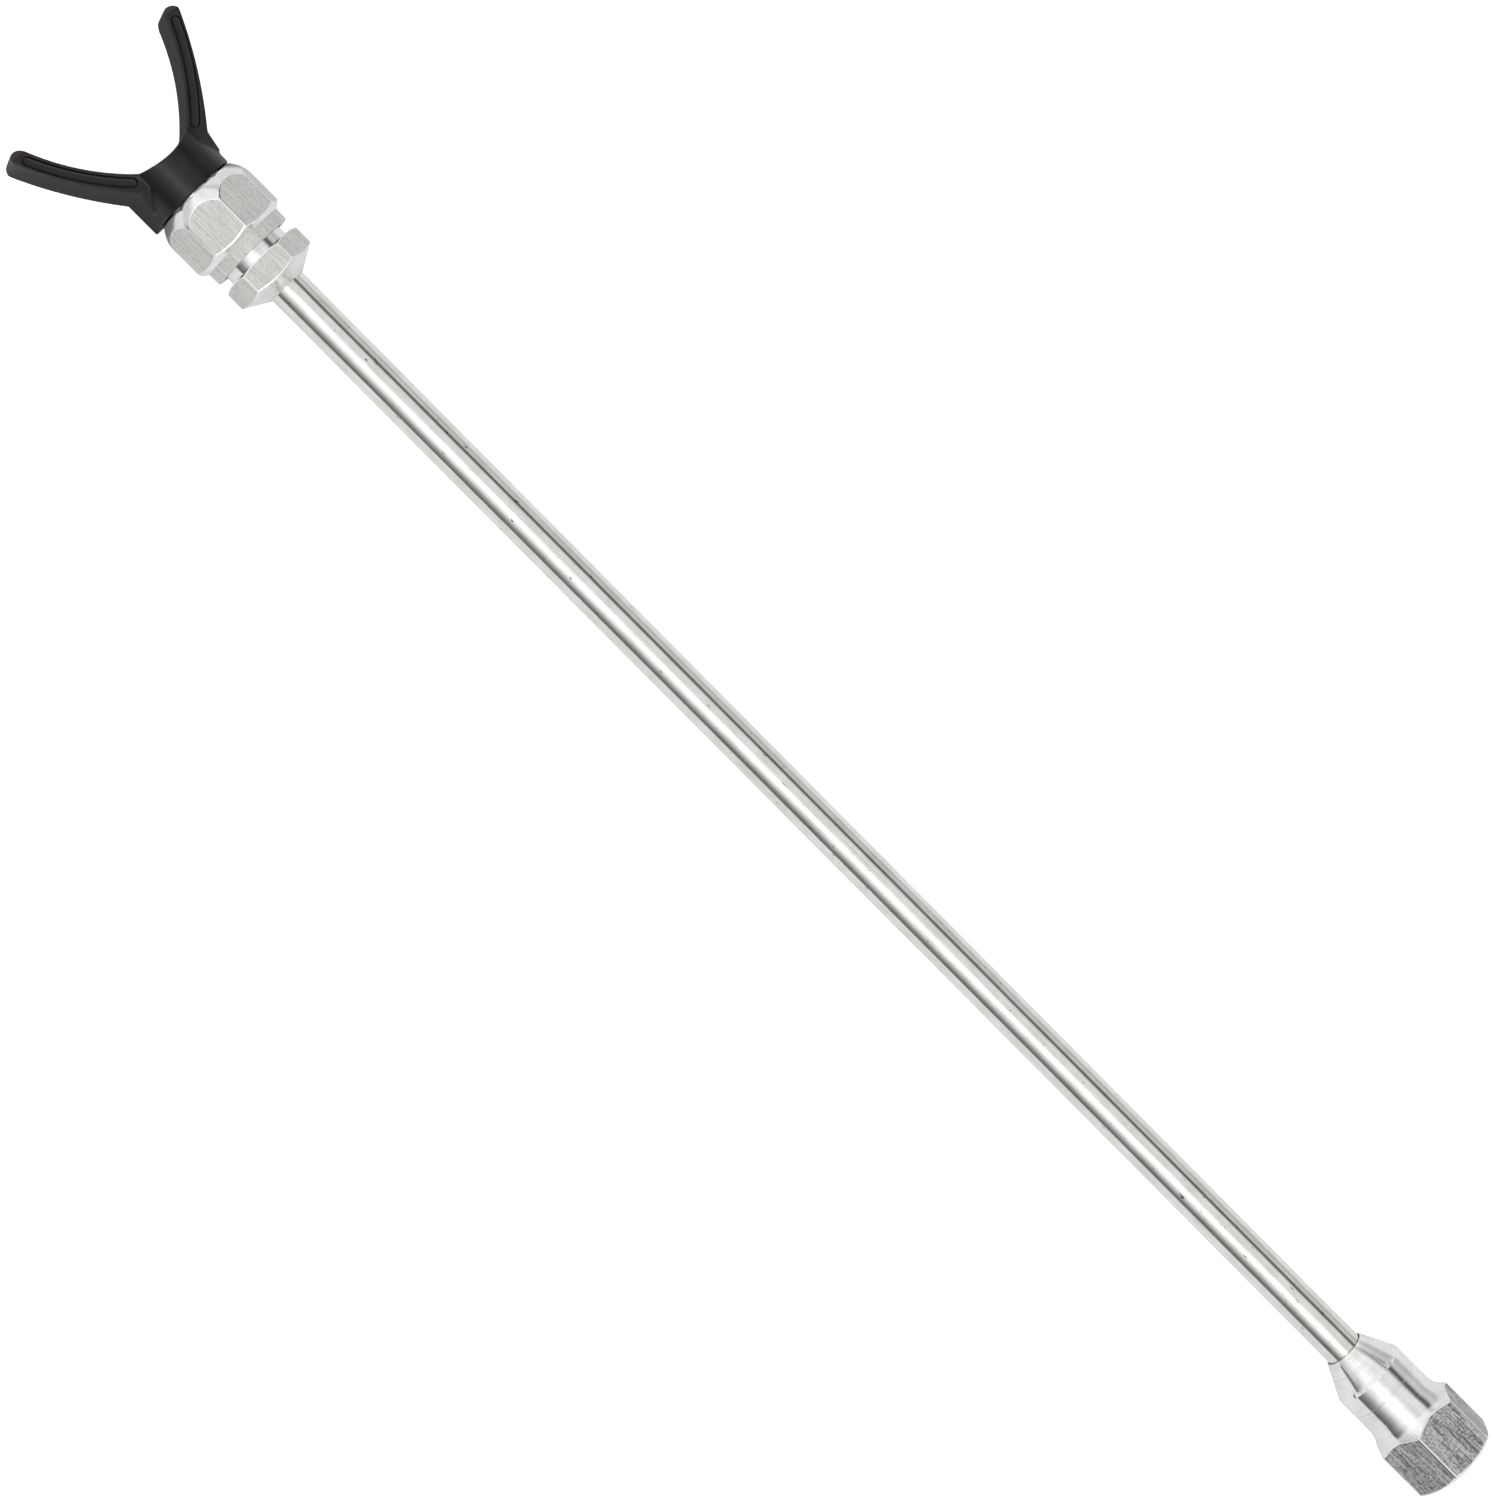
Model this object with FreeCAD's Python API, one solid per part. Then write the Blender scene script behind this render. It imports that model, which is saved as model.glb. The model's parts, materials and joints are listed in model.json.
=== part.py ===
import FreeCAD, Part
import math
import os

# Extension pole for an airless paint spray gun, with a fork-shaped tip guard on its front end.
# Every turned piece lies on the X axis. +X is the way the paint leaves, +Z is up, and the wings of
# the guard spread along Y. The origin is the centre of the mouth of the gun socket.
# All sizes are in millimetres and all angles in degrees.

# ---- clearances -----------------------------------------------------------------------------------
RUNNING = 0.05          # radial gap of a piece that turns inside another
FACE_GAP = 0.1          # end gap of a piece that turns against another
LOOSE = 0.25            # radial gap where a piece only passes over another

# ---- the 7/8-14 UNF thread that guns, poles and guards of this kind share -------------------------
THREAD_ROOT_R = 10.0    # bottom of the outside thread
SOCKET_ROOT_R = 11.2    # bottom of the inside thread

# ---- tube -----------------------------------------------------------------------------------------
TUBE_D = 12.0
BORE_D = 5.6            # paint passage through tube, nipple and front fitting
TUBE_LENGTH = 489.3
TUBE_R = TUBE_D / 2
BORE_R = BORE_D / 2

# ---- gun end: nipple, gasket and coupling nut -----------------------------------------------------
SOCKET_DEPTH = 14.7     # from the mouth to the gasket
GASKET_R = 7.5
GASKET_HOLE_R = 3.2
GASKET_THICK = 2.0
GASKET_SEAT = 1.0       # how deep the gasket sits in the nipple
NIPPLE_FLANGE_R = 9.9
NIPPLE_FLANGE_LENGTH = 7.0
NIPPLE_BODY_WALL = 2.2
NIPPLE_BODY_LENGTH = 14.0
NIPPLE_STOP = 1.5       # wall between the gasket's seat and the end of the tube
COUPLING_FLATS = 27.0
COUPLING_TURN = -4.0    # angle of one flat from straight up, towards +Y
COUPLING_BEVEL = 1.6
COUPLING_HEX_LENGTH = 18.0
COUPLING_FLARE_LENGTH = 7.8
COUPLING_FLARE_SAG = 1.2
COUPLING_NECK_R = 11.8
COUPLING_NECK_LENGTH = 12.5
COUPLING_CONE_LENGTH = 10.6
COUPLING_LIP = 0.4      # wall at the thin end of the cone
NECK_LINE_WIDTH = 0.35
NECK_LINE_DEPTH = 0.15
SWIVEL_FROM_SHOULDER = 9.3
SWIVEL_WIRE_R = 0.7

# ---- front fitting --------------------------------------------------------------------------------
FRONT_FLATS = 24.0
FRONT_TURN = 14.0
FRONT_CONE_LENGTH = 3.5
FRONT_HEX_LENGTH = 7.5
FRONT_BEVEL = 0.8
TUBE_SOCKET_DEPTH = 16.0
RELIEF_R = 10.5         # plain neck between the hexagon and the guard nut
RELIEF_LENGTH = 4.6
FRONT_THREAD_LENGTH = 10.2
NOSE_R = 9.0
NOSE_LENGTH = 2.0

# ---- O-rings --------------------------------------------------------------------------------------
O_RING_SECTION = 1.5
O_RING_FROM_TUBE_END = 2.6
SEAT_O_RING_SECTION = 1.0

# ---- guard nut ------------------------------------------------------------------------------------
NUT_SIDES = 8
NUT_FLATS = 30.0
NUT_TURN = 22.5
NUT_SKIRT_R = 13.55
NUT_SKIRT_LENGTH = 4.1
NUT_SKIRT_EDGE = 0.35
NUT_SHOULDER_LENGTH = 2.0
NUT_DOME_LENGTH = 6.9   # turned front, back to where it meets the corners
NUT_DOME_SAG = 0.45
NUT_LENGTH = 22.7
NUT_FRONT_R = 13.1
NUT_BACK_GAP = 2.8      # neck that shows between the hexagon and the nut
NUT_LIP = 5.5           # front wall of the nut, which pulls on the flange of the housing
NUT_THREAD_LENGTH = 12.0

# ---- housing, seat and seal -----------------------------------------------------------------------
HOUSING_FLANGE_R = 11.0
HOUSING_FLANGE_LENGTH = 2.9
HOUSING_NECK_R = 9.5
HOUSING_BODY_R = 8.6
HOUSING_FRONT_WALL = 1.0    # moulding between the housing and the bottom of the saddle
TIP_BORE_R = 4.8
TIP_BORE_ROOF = 0.5     # least wall between the tip bore's blind end and the housing's side
TIP_BORE_BACK_WALL = 0.8    # to the back of the collar
TIP_BORE_FRONT_WALL = 0.9   # to the front of the housing
SEAL_THICK = 2.0
SEAL_HOLE_R = 2.6
SEAT_HEAD_R = 6.3
SEAT_HEAD_LENGTH = 4.0
SEAT_NOSE_R = 4.4
SEAT_HOLE_R = 2.0
WINDOW_R = 3.4          # spray window through the front of the housing
WINDOW_FLARE_R = 5.6

# ---- moulded guard: places in its plan are (ahead of the back of the collar, away from the axis) --
GUARD_GAP = 0.5         # between the nut's front and the collar's back
COLLAR_R = 13.2
COLLAR_UNDER = COLLAR_R - 0.2    # depth of the square lower half
COLLAR_STEP = 0.4       # the square half stands proud of the round half
WING_ROOT = 9.8
SADDLE_END = (14.4, 9.4)
WING_INNER_MIDDLE = (26.5, 20.3)
WING_INNER_END = (41.6, 28.6)
WING_OUTER_MIDDLE = (23.6, 23.9)
WING_OUTER_END = (40.2, 33.2)
WING_TIP = (43.2, 31.6)
WING_HALF_DEPTH = 8.5
WING_RAMP = 6.0         # length over which a wing rises out of the collar
WING_RAMP_LOW = 3.5     # half of its depth where the ramp starts
WING_TIP_ROUND = 3.0
CHANNEL_WIDTH = 2.8
CHANNEL_DEPTH = 1.2
CHANNEL_START = (13.9, 12.6)
CHANNEL_MIDDLE = (25.0, 22.1)
CHANNEL_END = (38.6, 30.0)
KEY_WIDTH = 3.0
KEY_DEPTH = 1.2

# ---- places along the axis, from the gun end to the tip -------------------------------------------
GASKET_X = SOCKET_DEPTH
NIPPLE_BODY_R = TUBE_R + NIPPLE_BODY_WALL
NIPPLE_X = GASKET_X + GASKET_THICK - GASKET_SEAT
TUBE_X = NIPPLE_X + GASKET_SEAT + NIPPLE_STOP
TUBE_END = TUBE_X + TUBE_LENGTH
NIPPLE_SHOULDER = NIPPLE_X + NIPPLE_FLANGE_LENGTH
NIPPLE_END = NIPPLE_SHOULDER + NIPPLE_BODY_LENGTH
COUPLING_SHOULDER = NIPPLE_SHOULDER + FACE_GAP
COUPLING_NECK_X = COUPLING_HEX_LENGTH + COUPLING_FLARE_LENGTH
COUPLING_CONE_X = COUPLING_NECK_X + COUPLING_NECK_LENGTH
COUPLING_END = COUPLING_CONE_X + COUPLING_CONE_LENGTH
SWIVEL_X = NIPPLE_SHOULDER + SWIVEL_FROM_SHOULDER
SWIVEL_R = NIPPLE_BODY_R + RUNNING
FRONT_X = TUBE_END - TUBE_SOCKET_DEPTH
FRONT_HEX_X = FRONT_X + FRONT_CONE_LENGTH
RELIEF_X = FRONT_HEX_X + FRONT_HEX_LENGTH
FRONT_THREAD_X = RELIEF_X + RELIEF_LENGTH
NOSE_X = FRONT_THREAD_X + FRONT_THREAD_LENGTH
POLE_END = NOSE_X + NOSE_LENGTH
NUT_X = RELIEF_X + NUT_BACK_GAP
NUT_FRONT = NUT_X + NUT_LENGTH
NUT_SHOULDER = NUT_FRONT - NUT_LIP
HOUSING_FLANGE_X = NUT_SHOULDER - FACE_GAP - HOUSING_FLANGE_LENGTH
COLLAR_X = NUT_FRONT + GUARD_GAP
TIP_X = COLLAR_X + TIP_BORE_BACK_WALL + TIP_BORE_R
# the bore's blind end (above the pole's axis) is where the housing is still wider than the bore
TIP_BORE_TOP = round((HOUSING_BODY_R ** 2 - TIP_BORE_R ** 2) ** 0.5 - TIP_BORE_ROOF, 1)
HOUSING_END = TIP_X + TIP_BORE_R + TIP_BORE_FRONT_WALL
SADDLE_X = HOUSING_END + HOUSING_FRONT_WALL
SEAT_X = POLE_END + SEAL_THICK
SEAT_SHOULDER = SEAT_X + SEAT_HEAD_LENGTH

FAR = 100.0             # cutters reach this far past what they cut
AXIS = FreeCAD.Vector(1, 0, 0)
ORIGIN = FreeCAD.Vector(0, 0, 0)


def vector(x, y, z=0.0):
    """A point of the frame."""
    return FreeCAD.Vector(x, y, z)


def outline_edges(outline):
    """Edges through (x, radius) points. A point of four numbers ends an arc through its last two."""
    edges = []
    last = outline[-1]
    for place in outline:
        start, end = vector(last[0], 0, last[1]), vector(place[0], 0, place[1])
        if len(place) == 4:
            edges.append(Part.Arc(start, vector(place[2], 0, place[3]), end).toShape())
        else:
            edges.append(Part.makeLine(start, end))
        last = place
    return edges


def turned(outline):
    """A solid of revolution about X."""
    face = Part.Face(Part.Wire(outline_edges(outline)))
    return Part.Solid(face.revolve(ORIGIN, AXIS, 360))


def rod(radius, start, end):
    """A round bar on the axis."""
    return Part.makeCylinder(radius, end - start, vector(start, 0), AXIS)


def ring(outer, inner, start, end):
    """A flat ring on the axis."""
    return rod(outer, start, end).cut(rod(inner, start - 1, end + 1))


def hoop(centre_x, radius, wire_radius):
    """A round wire bent to a circle about the axis."""
    return Part.makeTorus(radius, wire_radius, vector(centre_x, 0), AXIS)


def corner_radius(flats, sides):
    """The radius over the corners of a bar, from its size across flats."""
    return flats / 2 / math.cos(math.pi / sides)


def flats_cutter(flats, sides, turn, start, end):
    """What a mill takes off a round bar to leave flats."""
    radius = corner_radius(flats, sides)
    first = math.radians(turn) + math.pi / sides
    turns = [first + 2 * math.pi * i / sides for i in range(sides + 1)]
    corners = [vector(start, radius * math.sin(a), radius * math.cos(a)) for a in turns]
    bar = Part.Face(Part.makePolygon(corners)).extrude(vector(end - start, 0))
    return rod(FAR, start, end).cut(bar)


def sagged(start, end, sag):
    """The middle of an arc between two (x, radius) points, moved by sag across the chord."""
    along, out = end[0] - start[0], end[1] - start[1]
    length = math.hypot(along, out)
    middle = ((start[0] + end[0]) / 2, (start[1] + end[1]) / 2)
    return (middle[0] - sag * out / length, middle[1] + sag * along / length)


def only_solid(shape):
    """The one solid that a chain of cuts and unions leaves."""
    solids = shape.removeSplitter().Solids
    if len(solids) != 1:
        raise ValueError(f"expected one solid and got {len(solids)}")
    return solids[0]


# ---- the pole itself ------------------------------------------------------------------------------
def make_tube():
    return ring(TUBE_R, BORE_R, TUBE_X, TUBE_END)


def o_ring_groove(centre_x):
    """The square groove that holds an O-ring round the tube."""
    half = O_RING_SECTION / 2
    return rod(TUBE_R + O_RING_SECTION, centre_x - half, centre_x + half)


def make_o_ring(centre_x):
    return hoop(centre_x, TUBE_R + O_RING_SECTION / 2, O_RING_SECTION / 2)


def make_tail_nipple():
    """Flanged nipple on the gun end of the tube. The coupling nut pulls on its flange."""
    body = turned([
        (NIPPLE_X, 0), (NIPPLE_X, NIPPLE_FLANGE_R),
        (NIPPLE_SHOULDER, NIPPLE_FLANGE_R), (NIPPLE_SHOULDER, NIPPLE_BODY_R),
        (NIPPLE_END, NIPPLE_BODY_R), (NIPPLE_END, 0),
    ])
    body = body.cut(rod(BORE_R, NIPPLE_X - 1, TUBE_X + 1))
    body = body.cut(rod(GASKET_R, NIPPLE_X - 1, NIPPLE_X + GASKET_SEAT))
    body = body.cut(rod(TUBE_R, TUBE_X, NIPPLE_END + 1))
    body = body.cut(o_ring_groove(TUBE_X + O_RING_FROM_TUBE_END))
    body = body.cut(hoop(SWIVEL_X, SWIVEL_R, SWIVEL_WIRE_R))
    return only_solid(body)


def make_coupling_gasket():
    return ring(GASKET_R, GASKET_HOLE_R, GASKET_X, GASKET_X + GASKET_THICK)


def make_swivel_wire():
    """Wire ring, half in the nipple and half in the nut, that keeps the nut on the nipple."""
    return hoop(SWIVEL_X, SWIVEL_R, SWIVEL_WIRE_R)


def make_coupling_nut():
    """Hexagon nut for the gun, with a round neck and a long cone that closes over the tube."""
    corner = corner_radius(COUPLING_FLATS, 6) + 0.2
    hole = TUBE_R + LOOSE
    flare_start = (COUPLING_HEX_LENGTH, corner)
    flare_end = (COUPLING_NECK_X, COUPLING_NECK_R)
    body = turned([
        (0, 0), (0, COUPLING_FLATS / 2 - 0.4), (COUPLING_BEVEL, corner), flare_start,
        flare_end + sagged(flare_start, flare_end, -COUPLING_FLARE_SAG),
        (COUPLING_CONE_X, COUPLING_NECK_R), (COUPLING_END, hole + COUPLING_LIP),
        (COUPLING_END, 0),
    ])
    body = body.cut(flats_cutter(COUPLING_FLATS, 6, COUPLING_TURN, -1, COUPLING_NECK_X))
    body = body.cut(turned([
        (-1, 0), (-1, SOCKET_ROOT_R), (SOCKET_DEPTH, SOCKET_ROOT_R),
        (SOCKET_DEPTH, NIPPLE_FLANGE_R + LOOSE), (COUPLING_SHOULDER, NIPPLE_FLANGE_R + LOOSE),
        (COUPLING_SHOULDER, NIPPLE_BODY_R + RUNNING),
        (NIPPLE_END + FACE_GAP, NIPPLE_BODY_R + RUNNING), (NIPPLE_END + FACE_GAP, hole),
        (COUPLING_END + 1, hole), (COUPLING_END + 1, 0),
    ]))
    body = body.cut(hoop(SWIVEL_X, SWIVEL_R, SWIVEL_WIRE_R + RUNNING))
    line = NECK_LINE_WIDTH / 2
    body = body.cut(ring(FAR, COUPLING_NECK_R - NECK_LINE_DEPTH, SWIVEL_X - line, SWIVEL_X + line))
    return only_solid(body)


def make_front_fitting():
    """Hexagon fitting on the front end of the tube, with the outside thread for the guard nut."""
    corner = corner_radius(FRONT_FLATS, 6) + 0.1
    flat = FRONT_FLATS / 2
    body = turned([
        (FRONT_X, 0), (FRONT_X, TUBE_R + LOOSE), (FRONT_HEX_X, flat + 0.2),
        (FRONT_HEX_X + FRONT_BEVEL, corner), (RELIEF_X - FRONT_BEVEL, corner),
        (RELIEF_X, flat + 0.4), (RELIEF_X, RELIEF_R), (FRONT_THREAD_X, RELIEF_R),
        (FRONT_THREAD_X, THREAD_ROOT_R), (NOSE_X, THREAD_ROOT_R), (NOSE_X, NOSE_R),
        (POLE_END, NOSE_R), (POLE_END, 0),
    ])
    body = body.cut(flats_cutter(FRONT_FLATS, 6, FRONT_TURN, FRONT_X - 1, RELIEF_X))
    body = body.cut(rod(TUBE_R, FRONT_X - 1, TUBE_END))
    body = body.cut(rod(BORE_R, TUBE_END - 1, POLE_END + 1))
    body = body.cut(o_ring_groove(TUBE_END - O_RING_FROM_TUBE_END))
    return only_solid(body)


# ---- guard nut, housing, seat and seal ------------------------------------------------------------
def make_guard_nut():
    """Eight-sided nut with a round skirt at its back and a domed front."""
    corner = corner_radius(NUT_FLATS, NUT_SIDES) + 0.1
    skirt_end = NUT_X + NUT_SKIRT_LENGTH
    dome_start = (NUT_FRONT - NUT_DOME_LENGTH, corner)
    front = (NUT_FRONT, NUT_FRONT_R)
    body = turned([
        (NUT_X, 0), (NUT_X, NUT_SKIRT_R - NUT_SKIRT_EDGE), (NUT_X + NUT_SKIRT_EDGE, NUT_SKIRT_R),
        (skirt_end, NUT_SKIRT_R), (skirt_end + NUT_SHOULDER_LENGTH, corner),
        dome_start, front + sagged(dome_start, front, NUT_DOME_SAG), (NUT_FRONT, 0),
    ])
    body = body.cut(flats_cutter(NUT_FLATS, NUT_SIDES, NUT_TURN, skirt_end, NUT_FRONT + 1))
    thread_end = NUT_X + NUT_THREAD_LENGTH
    body = body.cut(turned([
        (NUT_X - 1, 0), (NUT_X - 1, SOCKET_ROOT_R), (thread_end, SOCKET_ROOT_R),
        (thread_end, HOUSING_FLANGE_R + RUNNING), (NUT_SHOULDER, HOUSING_FLANGE_R + RUNNING),
        (NUT_SHOULDER, HOUSING_NECK_R + RUNNING), (NUT_FRONT + 1, HOUSING_NECK_R + RUNNING),
        (NUT_FRONT + 1, 0),
    ]))
    return only_solid(body)


def tip_bore(radius, low, high):
    """The upright hole that takes the barrel of a spray tip."""
    return Part.makeCylinder(radius, high - low, vector(TIP_X, 0, low))


def spray_window():
    """The hole from the tip bore out through the saddle. It widens forwards."""
    return turned([
        (TIP_X, 0), (TIP_X, WINDOW_R), (HOUSING_END - 1, WINDOW_R),
        (SADDLE_X + 0.5, WINDOW_FLARE_R), (SADDLE_X + FAR, WINDOW_FLARE_R), (SADDLE_X + FAR, 0),
    ])


def make_guard_housing():
    """Metal core of the guard: a flange inside the nut and a body that holds the tip."""
    body = turned([
        (HOUSING_FLANGE_X, 0), (HOUSING_FLANGE_X, HOUSING_FLANGE_R),
        (NUT_SHOULDER - FACE_GAP, HOUSING_FLANGE_R), (NUT_SHOULDER - FACE_GAP, HOUSING_NECK_R),
        (COLLAR_X, HOUSING_NECK_R), (COLLAR_X, HOUSING_BODY_R), (HOUSING_END, HOUSING_BODY_R),
        (HOUSING_END, 0),
    ])
    body = body.cut(rod(SEAT_HEAD_R + RUNNING, HOUSING_FLANGE_X - 1, SEAT_SHOULDER))
    body = body.cut(rod(SEAT_NOSE_R + RUNNING, SEAT_SHOULDER - 1, TIP_X))
    body = body.cut(tip_bore(TIP_BORE_R, -FAR, TIP_BORE_TOP))
    body = body.cut(spray_window())
    return only_solid(body)


def make_tip_seat():
    """Steel seat. Its nose is hollowed to fit the barrel of a spray tip."""
    body = turned([
        (SEAT_X, SEAT_HOLE_R), (SEAT_X, SEAT_HEAD_R), (SEAT_SHOULDER, SEAT_HEAD_R),
        (SEAT_SHOULDER, SEAT_NOSE_R), (TIP_X, SEAT_NOSE_R), (TIP_X, SEAT_HOLE_R),
    ])
    body = body.cut(tip_bore(TIP_BORE_R, -FAR, FAR))
    half = SEAT_O_RING_SECTION / 2
    middle = SEAT_X + SEAT_HEAD_LENGTH / 2
    floor = SEAT_HEAD_R + RUNNING - SEAT_O_RING_SECTION
    body = body.cut(ring(FAR, floor, middle - half, middle + half))
    return only_solid(body)


def make_seat_o_ring():
    half = SEAT_O_RING_SECTION / 2
    return hoop(SEAT_X + SEAT_HEAD_LENGTH / 2, SEAT_HEAD_R + RUNNING - half, half)


def make_seat_seal():
    return ring(SEAT_HEAD_R, SEAL_HOLE_R, POLE_END, SEAT_X)


# ---- moulded guard --------------------------------------------------------------------------------
def guard_point(place, side=1):
    """A point of the guard's plan, on the +Y or the -Y side."""
    return vector(COLLAR_X + place[0], side * place[1])


def guard_plan():
    """The plan of collar and wings as one closed face in the XY plane."""
    half_width = COLLAR_R + COLLAR_STEP
    edges = [Part.makeLine(guard_point((0, half_width), -1), guard_point((0, half_width)))]
    for side in (1, -1):
        back = guard_point((0, half_width), side)
        root = guard_point((WING_ROOT, half_width), side)
        outer = guard_point(WING_OUTER_END, side)
        inner = guard_point(WING_INNER_END, side)
        saddle = guard_point(SADDLE_END, side)
        edges.append(Part.makeLine(back, root))
        edges.append(Part.Arc(root, guard_point(WING_OUTER_MIDDLE, side), outer).toShape())
        edges.append(Part.Arc(outer, guard_point(WING_TIP, side), inner).toShape())
        edges.append(Part.Arc(inner, guard_point(WING_INNER_MIDDLE, side), saddle).toShape())
    ends = [guard_point(SADDLE_END, side) for side in (1, -1)]
    edges.append(Part.Arc(ends[0], vector(SADDLE_X, 0), ends[1]).toShape())
    return Part.Face(Part.Wire(Part.__sortEdges__(edges)))


def guard_section():
    """The collar's section as a bar along X: round above the axis and square below it."""
    length = SADDLE_END[0]
    half_width = COLLAR_R + COLLAR_STEP
    lower = Part.makeBox(length, 2 * half_width, COLLAR_UNDER)
    lower.translate(vector(COLLAR_X, -half_width, -COLLAR_UNDER))
    return rod(COLLAR_R, COLLAR_X, COLLAR_X + length).fuse(lower)


def wing_section():
    """The side view of the wings, as a bar along Y with rounded ends."""
    end_x = COLLAR_X + WING_TIP[0] + 1
    turn_x = end_x - WING_TIP_ROUND
    turn_z = WING_HALF_DEPTH - WING_TIP_ROUND
    root_x = COLLAR_X + WING_ROOT
    upper = [
        (root_x - WING_RAMP, WING_RAMP_LOW), (root_x, WING_HALF_DEPTH),
        (turn_x, WING_HALF_DEPTH), (end_x, turn_z),
    ]
    places = upper + [(x, -z) for x, z in reversed(upper)]
    corners = [vector(x, -FAR, z) for x, z in places]
    return Part.Face(Part.makePolygon(corners + corners[:1])).extrude(vector(0, 2 * FAR))


def wing_channel(side):
    """The round-ended channel of one wing, as a bar that stands on the XY plane."""
    curve = Part.Arc(*[guard_point(p, side) for p in (CHANNEL_START, CHANNEL_MIDDLE, CHANNEL_END)])
    circle = curve.toShape().Curve
    half = CHANNEL_WIDTH / 2
    ends = [guard_point(CHANNEL_START, side), guard_point(CHANNEL_END, side)]
    middle = guard_point(CHANNEL_MIDDLE, side)

    def on_rim(point, radius):
        return circle.Center + (point - circle.Center).normalize() * radius

    edges = []
    for radius in (circle.Radius - half, circle.Radius + half):
        rim = [on_rim(point, radius) for point in (ends[0], middle, ends[1])]
        edges.append(Part.Arc(*rim).toShape())
    for end in ends:
        edges.append(Part.makeLine(on_rim(end, circle.Radius - half), on_rim(end, circle.Radius + half)))
    bar = Part.Face(Part.Wire(Part.__sortEdges__(edges))).extrude(vector(0, 0, FAR))
    for end in ends:
        bar = bar.fuse(Part.makeCylinder(half, FAR, end))
    return bar


def make_tip_guard():
    """Moulded guard: a collar round the housing and two channelled wings that keep hands off."""
    body = guard_plan().extrude(vector(0, 0, 2 * FAR))
    body.translate(vector(0, 0, -FAR))
    body = body.common(guard_section()).fuse(body.common(wing_section()))
    for side in (1, -1):
        channel = wing_channel(side)
        channel.translate(vector(0, 0, WING_HALF_DEPTH - CHANNEL_DEPTH))
        body = body.cut(channel)
        body = body.cut(channel.mirror(ORIGIN, vector(0, 0, 1)))
    body = body.cut(rod(HOUSING_BODY_R, COLLAR_X - 1, HOUSING_END))
    body = body.cut(tip_bore(TIP_BORE_R, -FAR, 0))
    body = body.cut(spray_window())
    key = Part.makeBox(SADDLE_X - COLLAR_X, KEY_WIDTH, KEY_DEPTH + 1)
    key.translate(vector(TIP_X, -KEY_WIDTH / 2, -COLLAR_UNDER - 1))
    body = body.cut(key)
    return only_solid(body)


PARTS = {
    "tube": make_tube(),
    "tail_nipple": make_tail_nipple(),
    "tail_o_ring": make_o_ring(TUBE_X + O_RING_FROM_TUBE_END),
    "coupling_gasket": make_coupling_gasket(),
    "swivel_wire": make_swivel_wire(),
    "coupling_nut": make_coupling_nut(),
    "front_fitting": make_front_fitting(),
    "front_o_ring": make_o_ring(TUBE_END - O_RING_FROM_TUBE_END),
    "guard_nut": make_guard_nut(),
    "guard_housing": make_guard_housing(),
    "tip_seat": make_tip_seat(),
    "seat_o_ring": make_seat_o_ring(),
    "seat_seal": make_seat_seal(),
    "tip_guard": make_tip_guard(),
}

os.makedirs("parts", exist_ok=True)
for name, solid in PARTS.items():
    solid.exportStep(f"parts/{name}.step")
    box = solid.BoundBox
    print(f"{name:16} {solid.isValid()} {solid.Volume:9.1f} x {box.XMin:7.2f} {box.XMax:7.2f}")
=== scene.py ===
import json
import math

import bpy
from mathutils import Matrix, Vector

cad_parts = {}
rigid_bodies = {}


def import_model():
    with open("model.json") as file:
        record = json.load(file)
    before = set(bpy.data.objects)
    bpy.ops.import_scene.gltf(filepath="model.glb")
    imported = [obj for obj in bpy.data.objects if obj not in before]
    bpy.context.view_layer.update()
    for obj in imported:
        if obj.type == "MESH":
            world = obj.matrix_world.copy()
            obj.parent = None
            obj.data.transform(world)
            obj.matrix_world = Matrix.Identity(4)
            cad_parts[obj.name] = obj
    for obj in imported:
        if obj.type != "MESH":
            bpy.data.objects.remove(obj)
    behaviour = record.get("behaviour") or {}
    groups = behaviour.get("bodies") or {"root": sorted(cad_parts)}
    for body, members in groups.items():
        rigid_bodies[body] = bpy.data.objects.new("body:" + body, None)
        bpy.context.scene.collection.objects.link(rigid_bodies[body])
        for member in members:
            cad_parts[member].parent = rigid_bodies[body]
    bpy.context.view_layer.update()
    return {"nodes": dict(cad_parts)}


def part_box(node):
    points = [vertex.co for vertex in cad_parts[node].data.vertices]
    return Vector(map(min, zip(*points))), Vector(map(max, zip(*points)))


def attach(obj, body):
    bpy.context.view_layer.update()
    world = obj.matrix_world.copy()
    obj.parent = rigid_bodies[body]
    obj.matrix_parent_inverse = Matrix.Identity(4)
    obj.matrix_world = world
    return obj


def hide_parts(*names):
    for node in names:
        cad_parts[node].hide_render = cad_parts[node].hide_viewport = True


# Extension pole for an airless spray gun, lying on a pale table. The pole runs along X with its
# tip guard at the +X end. Everything is in metres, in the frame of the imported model.

MM = 0.001

# Threads have 14 turns to the inch. A socket's ridge stands inwards from its root and an outside
# ridge stands outwards, so that each lies in the other's groove.
THREAD_PITCH = 25.4 / 14 * MM
SOCKET_ROOT_R = 11.2 * MM
SOCKET_CREST_R = 10.25 * MM
OUTSIDE_ROOT_R = 10.0 * MM
OUTSIDE_CREST_R = 11.05 * MM

SKIRT_LENGTH = 4.1 * MM    # round skirt at the back of the guard nut
SKIRT_INNER_R = 12.5 * MM

POLE_MIDDLE = (300 * MM, 0, 0)
TABLE_HEIGHT = -16.3 * MM  # just below the guard nut's corners
TABLE_SIZE = 12            # metres
WINGS_X = 562 * MM         # middle of the guard's wings

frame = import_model()
nodes = frame["nodes"]


# ---- modelling helpers ----------------------------------------------------------------------------
def deselect():
    """Nothing is selected, so an operator acts only on what is picked next."""
    bpy.ops.object.select_all(action="DESELECT")


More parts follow.
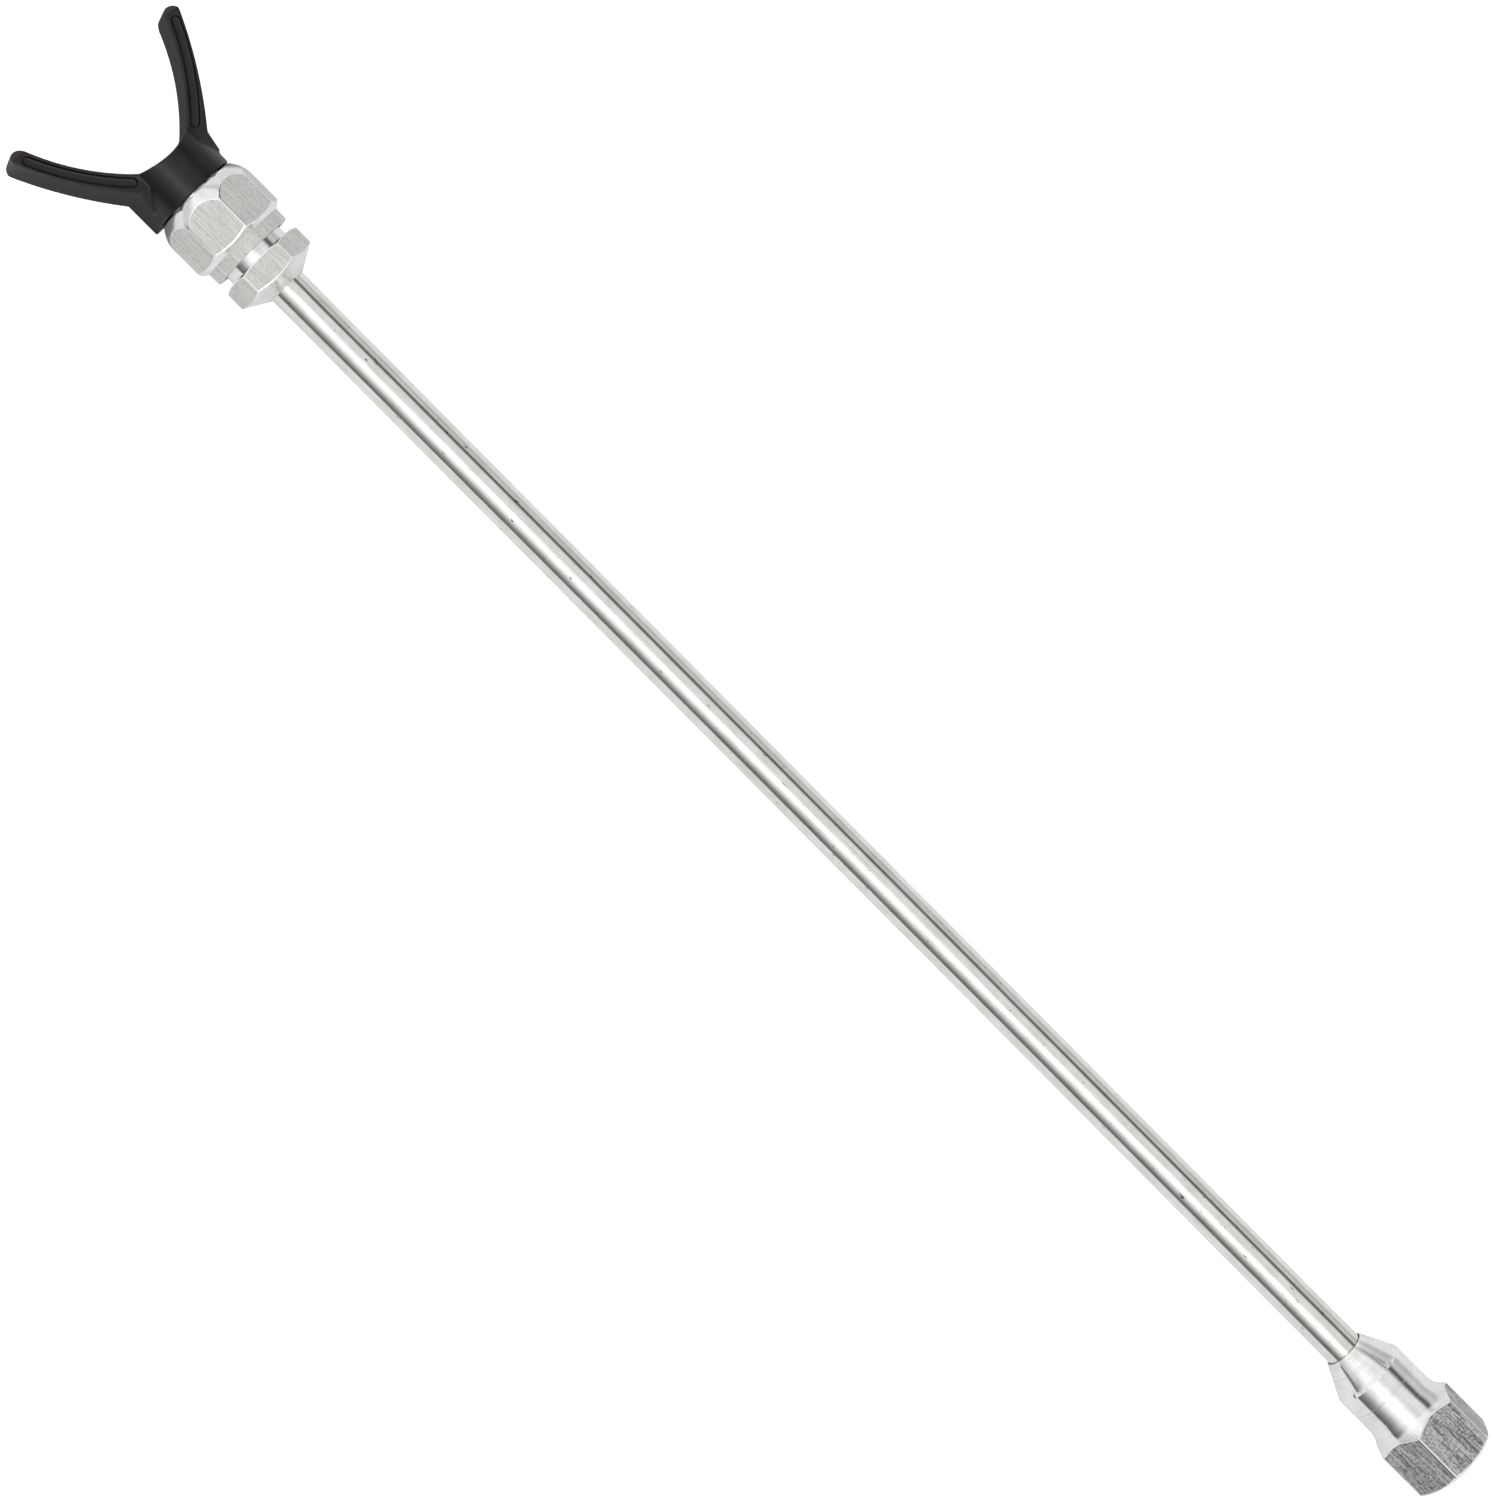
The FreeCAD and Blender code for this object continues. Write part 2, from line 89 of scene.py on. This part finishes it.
def pick(piece):
    """Only this piece is selected and active."""
    deselect()
    piece.select_set(True)
    bpy.context.view_layer.objects.active = piece


def edit(piece):
    """Edit mode on this piece, with nothing in it selected."""
    pick(piece)
    bpy.ops.object.mode_set(mode="EDIT")
    bpy.ops.mesh.select_all(action="DESELECT")


def object_mode():
    bpy.ops.object.mode_set(mode="OBJECT")


def name_piece(piece, name):
    """A piece and its mesh get the same name."""
    piece.name = name
    piece.data.name = name


def merged_copy(node, name):
    """A copy of a CAD node's mesh whose loose triangles are joined into one skin."""
    same_point = 0.002 * MM
    flat_within = math.radians(0.3)
    piece = bpy.data.objects.new(name, nodes[node].data.copy())
    bpy.context.scene.collection.objects.link(piece)
    name_piece(piece, name)
    edit(piece)
    bpy.ops.mesh.select_all(action="SELECT")
    bpy.ops.mesh.remove_doubles(threshold=same_point)
    bpy.ops.mesh.dissolve_limited(angle_limit=flat_within)
    object_mode()
    return piece


def apply_modifier(piece, kind, **settings):
    """Adds a modifier, sets it and applies it."""
    modifier = piece.modifiers.new(kind.lower(), kind)
    for key, value in settings.items():
        setattr(modifier, key, value)
    pick(piece)
    bpy.ops.object.modifier_apply(modifier=modifier.name)


def break_edges(piece, width):
    """Rounds every edge that turns by more than 28 degrees, as tumbling or a file does."""
    apply_modifier(piece, "BEVEL", width=width, segments=2, limit_method="ANGLE",
                   angle_limit=math.radians(28), harden_normals=False)


def smooth(piece, angle):
    """Shades as one surface whatever turns by less than the angle, in degrees."""
    pick(piece)
    bpy.ops.object.shade_smooth_by_angle(angle=math.radians(angle))


def hand_over(piece, body, slot, material, *replaced):
    """The piece rides on its body, takes its finish and stands for its CAD nodes."""
    piece.data.materials.clear()
    piece.data.materials.append(material)
    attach(piece, body)
    if replaced:
        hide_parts(*replaced)


# ---- material helpers -----------------------------------------------------------------------------
def colour(hex_value):
    """An sRGB hex colour as linear red, green, blue and alpha."""
    parts = [int(hex_value[i:i + 2], 16) / 255 for i in (1, 3, 5)]
    linear = [p / 12.92 if p <= 0.04045 else ((p + 0.055) / 1.055) ** 2.4 for p in parts]
    return (*linear, 1.0)


def add(tree, kind, links=(), stops=(), **settings):
    """Adds a node. A setting is a property or the value of an input, which goes by its name, or by
    its number after an underscore. Links are (input, output socket), and stops (place, colour)."""
    node = tree.nodes.new("ShaderNode" + kind)
    for key, value in settings.items():
        if hasattr(node, key):
            setattr(node, key, value)
        elif key.startswith("_"):
            node.inputs[int(key[1:])].default_value = value
        else:
            node.inputs[key.replace("_", " ")].default_value = value
    for target, source in links:
        tree.links.new(node.inputs[target], source)
    if stops:
        elements = node.color_ramp.elements
        while len(elements) < len(stops):
            elements.new(0.5)
        for element, (place, value) in zip(elements, stops):
            element.position = place
            element.color = value if isinstance(value, tuple) else (value, value, value, 1.0)
    return node


def new_material(name):
    """An empty node material, with its Principled shader."""
    material = bpy.data.materials.new(name)
    material.use_nodes = True
    tree = material.node_tree
    shader = tree.nodes["Principled BSDF"]
    return material, tree, shader


def set_shader(shader, **values):
    """Sets the shader's inputs by name."""
    for key, value in values.items():
        shader.inputs[key.replace("_", " ")].default_value = value


def finish_with(tree, shader, tone, gloss_source, gloss, bump_source, bump_strength, bump_mm):
    """Links the colour, a range of roughness and a bump into the shader."""
    spread = add(tree, "MapRange", [("Value", gloss_source)], To_Min=gloss[0], To_Max=gloss[1])
    bump = add(tree, "Bump", [("Height", bump_source)], Strength=bump_strength,
               Distance=bump_mm * MM)
    tree.links.new(shader.inputs["Base Color"], tone)
    tree.links.new(shader.inputs["Roughness"], spread.outputs["Result"])
    tree.links.new(shader.inputs["Normal"], bump.outputs["Normal"])


def turned_aluminium():
    """Bright aluminium off a lathe: fine rings round the axis that streak each reflection."""
    material, tree, shader = new_material("turned_aluminium")
    place = add(tree, "TexCoord").outputs["Object"]
    # Tool marks are 0.15 mm apart along the axis and long round it. Stains are about 6 mm.
    rings = add(tree, "Mapping", [("Vector", place)], Scale=(6600, 60, 60)).outputs["Vector"]
    marks = add(tree, "TexNoise", [("Vector", rings)], Scale=1.0, Detail=3.0,
                Roughness=0.6).outputs["Fac"]
    patches = add(tree, "TexNoise", [("Vector", place)], Scale=160.0, Detail=4.0,
                  Roughness=0.6).outputs["Fac"]
    tone = add(tree, "ValToRGB", [("Fac", marks)],
               stops=[(0.3, colour("#e2e2e1")), (0.7, colour("#f8f8f8"))])
    stain = add(tree, "ValToRGB", [("Fac", patches)],
                stops=[(0.35, colour("#e6e5e2")), (0.65, colour("#ffffff"))])
    mixed = add(tree, "Mix", [("A", tone.outputs["Color"]), ("B", stain.outputs["Color"])],
                data_type="RGBA", blend_type="MULTIPLY", Factor=0.6)
    finish_with(tree, shader, mixed.outputs["Result"], marks, (0.07, 0.15), marks, 0.1, 0.02)
    set_shader(shader, Metallic=1.0)
    return material


def ground_aluminium(name, low, high, streak, gloss, depth):
    """Spanner flats off a mill or a belt: grain along the axis, broken up by grit marks.

    Streak is the grain's scale by axis, gloss the range of roughness and depth the relief in mm."""
    material, tree, shader = new_material(name)
    place = add(tree, "TexCoord").outputs["Object"]
    # Grain is about 0.5 mm across the flat and 10 mm along it, and grit marks are 0.7 mm. Both are
    # finer on the real metal, and are drawn this coarse to show from over a metre away.
    grain = add(tree, "Mapping", [("Vector", place)], Scale=streak).outputs["Vector"]
    lines = add(tree, "TexNoise", [("Vector", grain)], Scale=1.0, Detail=3.0,
                Roughness=0.6).outputs["Fac"]
    grit = add(tree, "TexNoise", [("Vector", place)], Scale=1500.0, Detail=1.0,
               Roughness=0.5).outputs["Fac"]
    both = add(tree, "Mix", [("A", lines), ("B", grit)], Factor=0.4).outputs["Result"]
    tone = add(tree, "ValToRGB", [("Fac", both)], stops=[(0.4, colour(low)), (0.6, colour(high))])
    finish_with(tree, shader, tone.outputs["Color"], grit, gloss, both, 0.5, depth)
    set_shader(shader, Metallic=1.0)
    return material


def drawn_steel():
    """Satin stainless tube: long drawing lines and small pits."""
    material, tree, shader = new_material("drawn_stainless")
    place = add(tree, "TexCoord").outputs["Object"]
    # Drawing lines are 0.2 mm apart round the tube and about 17 mm long.
    along = add(tree, "Mapping", [("Vector", place)], Scale=(60, 5000, 5000)).outputs["Vector"]
    lines = add(tree, "TexNoise", [("Vector", along)], Scale=1.0, Detail=3.0,
                Roughness=0.65).outputs["Fac"]
    # Pits are the rare lows of a noise 2.4 mm long and 0.8 mm wide.
    hits = add(tree, "Mapping", [("Vector", place)], Scale=(420, 1300, 1300)).outputs["Vector"]
    pits = add(tree, "TexNoise", [("Vector", hits)], Scale=1.0, Detail=1.0, Roughness=0.4)
    specks = add(tree, "ValToRGB", [("Fac", pits.outputs["Fac"])],
                 stops=[(0.21, colour("#46433f")), (0.27, colour("#ffffff"))])
    # Handling leaves a mottle of about 7 mm.
    cloud = add(tree, "TexNoise", [("Vector", place)], Scale=150.0, Detail=5.0, Roughness=0.65)
    mottle = add(tree, "ValToRGB", [("Fac", cloud.outputs["Fac"])],
                 stops=[(0.35, colour("#e3e2de")), (0.65, colour("#ffffff"))])
    tone = add(tree, "ValToRGB", [("Fac", lines)],
               stops=[(0.3, colour("#dcdbd8")), (0.7, colour("#f2f1ef"))])
    worn = add(tree, "Mix", [("A", tone.outputs["Color"]), ("B", mottle.outputs["Color"])],
               data_type="RGBA", blend_type="MULTIPLY", Factor=0.55)
    mixed = add(tree, "Mix", [("A", worn.outputs["Result"]), ("B", specks.outputs["Color"])],
                data_type="RGBA", blend_type="MULTIPLY", Factor=0.85)
    finish_with(tree, shader, mixed.outputs["Result"], lines, (0.08, 0.18), lines, 0.08, 0.02)
    set_shader(shader, Metallic=1.0)
    return material


def moulded_nylon():
    """Black glass-filled nylon with a soft sheen: faint flow marks and the grain of the tool."""
    material, tree, shader = new_material("moulded_black_nylon")
    place = add(tree, "TexCoord").outputs["Object"]
    # Tool grain is 0.3 mm, and flow marks are about 6 mm.
    grain = add(tree, "TexNoise", [("Vector", place)], Scale=3300.0, Detail=2.0,
                Roughness=0.6).outputs["Fac"]
    flow = add(tree, "TexNoise", [("Vector", place)], Scale=160.0, Detail=4.0,
               Roughness=0.55).outputs["Fac"]
    tone = add(tree, "ValToRGB", [("Fac", flow)],
               stops=[(0.3, colour("#0e0a09")), (0.7, colour("#1b1514"))])
    finish_with(tree, shader, tone.outputs["Color"], flow, (0.26, 0.4), grain, 0.12, 0.02)
    set_shader(shader, IOR=1.5, Specular_IOR_Level=0.34)
    return material


def plain_polymer(name, low, high, gloss, scale):
    """A seal or ring: one tone, slightly mottled at this noise scale, and a fine moulded skin."""
    material, tree, shader = new_material(name)
    place = add(tree, "TexCoord").outputs["Object"]
    mottle = add(tree, "TexNoise", [("Vector", place)], Scale=scale, Detail=3.0,
                 Roughness=0.6).outputs["Fac"]
    tone = add(tree, "ValToRGB", [("Fac", mottle)], stops=[(0.3, colour(low)), (0.7, colour(high))])
    finish_with(tree, shader, tone.outputs["Color"], mottle, gloss, mottle, 0.1, 0.02)
    return material


ALUMINIUM = turned_aluminium()
PALE_FLATS = ground_aluminium("milled_aluminium_flats", "#cecdcb", "#e4e4e2",
                              (100, 2200, 2200), (0.7, 0.84), 0.02)
COARSE_FLATS = ground_aluminium("coarse_ground_aluminium_flats", "#6c6c6b", "#cfcfcd",
                                (90, 1900, 1900), (0.42, 0.56), 0.04)
TUBE_STEEL = drawn_steel()
NYLON = moulded_nylon()
SEAL_NYLON = plain_polymer("natural_nylon_seal", "#d8d4c6", "#e9e6da", (0.35, 0.5), 700.0)
RUBBER = plain_polymer("nitrile_rubber", "#141414", "#222222", (0.45, 0.6), 1500.0)


def finish_nodes():
    """The CAD nodes that stay get their real finishes."""
    finishes = {
        "tube": TUBE_STEEL, "tail_nipple": ALUMINIUM, "tail_o_ring": RUBBER,
        "coupling_gasket": SEAL_NYLON, "swivel_wire": TUBE_STEEL, "front_o_ring": RUBBER,
        "guard_housing": ALUMINIUM, "tip_seat": TUBE_STEEL, "seat_o_ring": RUBBER,
        "seat_seal": SEAL_NYLON,
    }
    for name, material in finishes.items():
        for place in nodes[name].material_slots:
            place.material = material


# ---- machined pieces ------------------------------------------------------------------------------
def face_flats(piece, across, rim, material):
    """Each spanner flat keeps a narrow bright rim, and its ground middle stands 0.06 mm proud.

    The flats face outwards at half the size across, and the bevels beside them are far smaller."""
    level, near, smallest = 0.01, 0.02 * MM, 4 * MM * MM
    piece.data.materials.append(material)
    edit(piece)
    object_mode()
    for face in piece.data.polygons:
        out = Vector((0, face.center.y, face.center.z)).dot(face.normal)
        outside = abs(face.normal.x) < level and abs(out - across / 2) < near
        face.select = outside and face.area > smallest
    bpy.ops.object.mode_set(mode="EDIT")
    bpy.ops.mesh.select_mode(type="FACE")
    bpy.ops.mesh.inset(thickness=rim, depth=0.06 * MM, use_individual=True, use_even_offset=True)
    piece.active_material_index = 1
    bpy.ops.object.material_slot_assign()
    bpy.ops.mesh.select_more()
    bpy.ops.mesh.faces_shade_flat()
    object_mode()


def machined(node, body, across, flats, edge, rim):
    """A spanner piece with its edges broken to the width of edge, and its flats ground."""
    piece = merged_copy(node, node + "_machined")
    break_edges(piece, edge)
    hand_over(piece, body, "machined_aluminium", ALUMINIUM, node)
    smooth(piece, 16)
    face_flats(piece, across, rim, flats)
    return piece


def grind_skirt(nut):
    """The skirt at the back of the guard nut has the finish of its flats."""
    skirt_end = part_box("guard_nut")[0].x + SKIRT_LENGTH
    for face in nut.data.polygons:
        if face.center.x < skirt_end and face.center.yz.length > SKIRT_INNER_R:
            face.material_index = 1


def machine_nuts():
    """The three pieces that a spanner fits."""
    machined("coupling_nut", "coupling", 27 * MM, COARSE_FLATS, edge=0.3 * MM, rim=0.5 * MM)
    machined("front_fitting", "pole", 24 * MM, PALE_FLATS, edge=0.25 * MM, rim=0.25 * MM)
    nut = machined("guard_nut", "nut", 30 * MM, PALE_FLATS, edge=0.2 * MM, rim=0.3 * MM)
    grind_skirt(nut)


def thread_ridge(name, start, turns, root, crest, body):
    """The ridge of a right-hand thread: a small wedge that is wound round the axis."""
    half_root, half_crest = 0.75 * MM, 0.125 * MM
    steps = int(48 * turns)
    deselect()
    bpy.ops.mesh.primitive_plane_add(size=1, location=(0, 0, 0))
    piece = bpy.context.active_object
    name_piece(piece, name)
    # A plane's corners are numbered row by row.
    corners = [(-half_root, root), (half_root, root), (-half_crest, crest), (half_crest, crest)]
    for vertex, (along, radius) in zip(piece.data.vertices, corners):
        vertex.co = (start + along, 0, radius)
    edit(piece)
    bpy.ops.mesh.select_all(action="SELECT")
    bpy.ops.mesh.delete(type="ONLY_FACE")
    object_mode()
    apply_modifier(piece, "SCREW", axis="X", angle=2 * math.pi * turns,
                   screw_offset=THREAD_PITCH * turns, steps=steps, render_steps=steps,
                   use_merge_vertices=False)
    edit(piece)
    bpy.ops.mesh.select_all(action="SELECT")
    bpy.ops.mesh.fill_holes(sides=4)
    bpy.ops.mesh.normals_make_consistent(inside=False)
    object_mode()
    smooth(piece, 30)
    hand_over(piece, body, "machined_aluminium", ALUMINIUM)


def cut_threads():
    """The gun socket's thread, the outside thread of the fitting, and the guard nut's own."""
    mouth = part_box("coupling_nut")[0].x + 1.2 * MM
    thread_ridge("gun_socket_thread", mouth, 6.5, SOCKET_ROOT_R, SOCKET_CREST_R, "coupling")
    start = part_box("guard_nut")[0].x + 1.4 * MM
    thread_ridge("guard_nut_thread", start, 5.2, SOCKET_ROOT_R, SOCKET_CREST_R, "nut")
    # Half a pitch puts the outside ridge between the turns of the nut's.
    inside = start + 1.5 * THREAD_PITCH
    thread_ridge("pole_thread", inside, 4.5, OUTSIDE_ROOT_R, OUTSIDE_CREST_R, "pole")


# ---- moulded guard --------------------------------------------------------------------------------
def mould_guard():
    """The guard as it leaves the tool, with every corner and junction blended."""
    piece = merged_copy("tip_guard", "moulded_guard")
    apply_modifier(piece, "REMESH", mode="VOXEL", voxel_size=0.3 * MM)
    apply_modifier(piece, "SMOOTH", factor=0.5, iterations=14)
    pick(piece)
    bpy.ops.object.shade_smooth()
    hand_over(piece, "guard", "guard_plastic", NYLON, "tip_guard")


finish_nodes()
machine_nuts()
cut_threads()
mould_guard()


# ---- stage ----------------------------------------------------------------------------------------
def make_floor():
    """A large pale table under the pole. The camera sees it as plain white, and reflections see
    painted shade under the guard.
    """
    painted_shade_radius, painted_shade_end = 36 * MM, 50 * MM
    deselect()
    bpy.ops.mesh.primitive_grid_add(x_subdivisions=2, y_subdivisions=2, size=TABLE_SIZE,
                                    location=(POLE_MIDDLE[0], 0, TABLE_HEIGHT))
    floor = bpy.context.active_object
    name_piece(floor, "table")
    material, tree, shader = new_material("white_table")
    path = add(tree, "LightPath")
    lift = add(tree, "Math", [(0, path.outputs["Is Camera Ray"])], operation="MULTIPLY", _1=0.6)
    tree.links.new(shader.inputs["Emission Strength"], lift.outputs["Value"])
    # Painted shade on the table, round the middle of the wings, stands for the darkness under the
    # guard and shows only in reflections. Its edge is soft.
    spot = add(tree, "NewGeometry").outputs["Position"]
    reach = add(tree, "VectorMath", [(0, spot)], operation="DISTANCE",
                _1=(WINGS_X, 0, TABLE_HEIGHT))
    painted_shade = add(tree, "MapRange", [("Value", reach.outputs["Value"])], From_Min=painted_shade_radius,
               From_Max=painted_shade_end, To_Min=0.25, To_Max=0.9)
    pale = add(tree, "Mix", [("Factor", path.outputs["Is Glossy Ray"]),
                             ("B", painted_shade.outputs["Result"])], data_type="RGBA",
               A=colour("#f4f4f4"))
    tree.links.new(shader.inputs["Base Color"], pale.outputs["Result"])
    set_shader(shader, Roughness=0.9, Emission_Color=(1, 1, 1, 1))
    floor.data.materials.append(material)


def make_world():
    """White for the camera. Round the pole, soft boxes and dark gaps between them for the metal."""
    world = bpy.data.worlds.new("studio")
    bpy.context.scene.world = world
    world.use_nodes = True
    tree = world.node_tree
    place = add(tree, "TexCoord")
    split = add(tree, "SeparateXYZ", [("Vector", place.outputs["Generated"])])
    turn = add(tree, "Math", [(0, split.outputs["Y"]), (1, split.outputs["Z"])], operation="ARCTAN2")
    share = add(tree, "MapRange", [("Value", turn.outputs["Value"])], From_Min=-math.pi,
                From_Max=math.pi)
    # Brightness by the angle from straight up, in degrees, with +Y positive.
    tones = [
        (-180, 0.64), (-92, 0.6), (-77, 0.46), (-64, 0.6), (-57, 0.55), (-52, 0.3), (-48, 0.1),
        (-41, 0.1), (-37, 0.3), (-31, 0.74), (-18, 0.8), (-6, 0.72), (3, 0.76), (11, 1.0),
        (37, 1.0), (48, 0.8), (57, 0.54), (67, 0.3), (82, 0.13), (91, 0.14), (97, 0.5),
        (180, 0.64),
    ]
    studio = add(tree, "ValToRGB", [("Fac", share.outputs["Result"])],
                 stops=[(angle / 360 + 0.5, tone) for angle, tone in tones])
    # Cones and domes look past the ends of the boxes, where the studio is paler.
    sideways = add(tree, "Math", [(0, split.outputs["X"])], operation="ABSOLUTE")
    past = add(tree, "MapRange", [("Value", sideways.outputs["Value"])],
               interpolation_type="SMOOTHSTEP", From_Min=0.42, From_Max=0.62, To_Max=0.55)
    pale = add(tree, "Mix", [("Factor", past.outputs["Result"]), ("A", studio.outputs["Color"])],
               data_type="RGBA", B=(0.97, 0.97, 0.97, 1))
    path = add(tree, "LightPath")
    mixed = add(tree, "Mix", [("Factor", path.outputs["Is Camera Ray"]),
                              ("A", pale.outputs["Result"])], data_type="RGBA", B=(1, 1, 1, 1))
    background = tree.nodes["Background"]
    tree.links.new(background.inputs["Color"], mixed.outputs["Result"])
    background.inputs["Strength"].default_value = 1.2


def soft_lamp(name, place, aim, width, height, power):
    """A rectangular softbox that faces a point."""
    data = bpy.data.lights.new(name, "AREA")
    data.shape = "RECTANGLE"
    data.size = width
    data.size_y = height
    data.energy = power
    lamp = bpy.data.objects.new(name, data)
    bpy.context.scene.collection.objects.link(lamp)
    lamp.location = place
    lamp.rotation_euler = (Vector(aim) - Vector(place)).to_track_quat("-Z", "Y").to_euler()


def place_camera():
    """Looks down on the pole, which crosses the picture from corner to corner, guard at the top."""
    roll = math.radians(14.0)     # round the pole, from straight above towards +Y
    tilt = math.radians(6.3)      # towards the guard
    slope = math.radians(45.162)  # of the pole in the picture
    distance = 1.3
    middle = Vector((302.92 * MM, 0, 0))
    back = Vector((math.sin(tilt), math.cos(tilt) * math.sin(roll), math.cos(tilt) * math.cos(roll)))
    along = (Vector((1, 0, 0)) - back * back.x).normalized()
    across = back.cross(along)
    right = -math.cos(slope) * along - math.sin(slope) * across
    up = back.cross(right)
    aim = middle + 0.42 * MM * across
    data = bpy.data.cameras.new("product_camera")
    data.lens = 106.8
    data.sensor_width = 36.0
    data.sensor_fit = "AUTO"
    camera = bpy.data.objects.new("product_camera", data)
    bpy.context.scene.collection.objects.link(camera)
    turn = Matrix((right, up, back)).transposed().to_4x4()
    camera.matrix_world = Matrix.Translation(aim + back * distance) @ turn
    bpy.context.scene.camera = camera


make_floor()
make_world()
soft_lamp("overhead_box", (0.3, 0.7, 1.5), POLE_MIDDLE, width=1.6, height=0.5, power=4)
place_camera()
bpy.context.scene.view_settings.view_transform = "Standard"
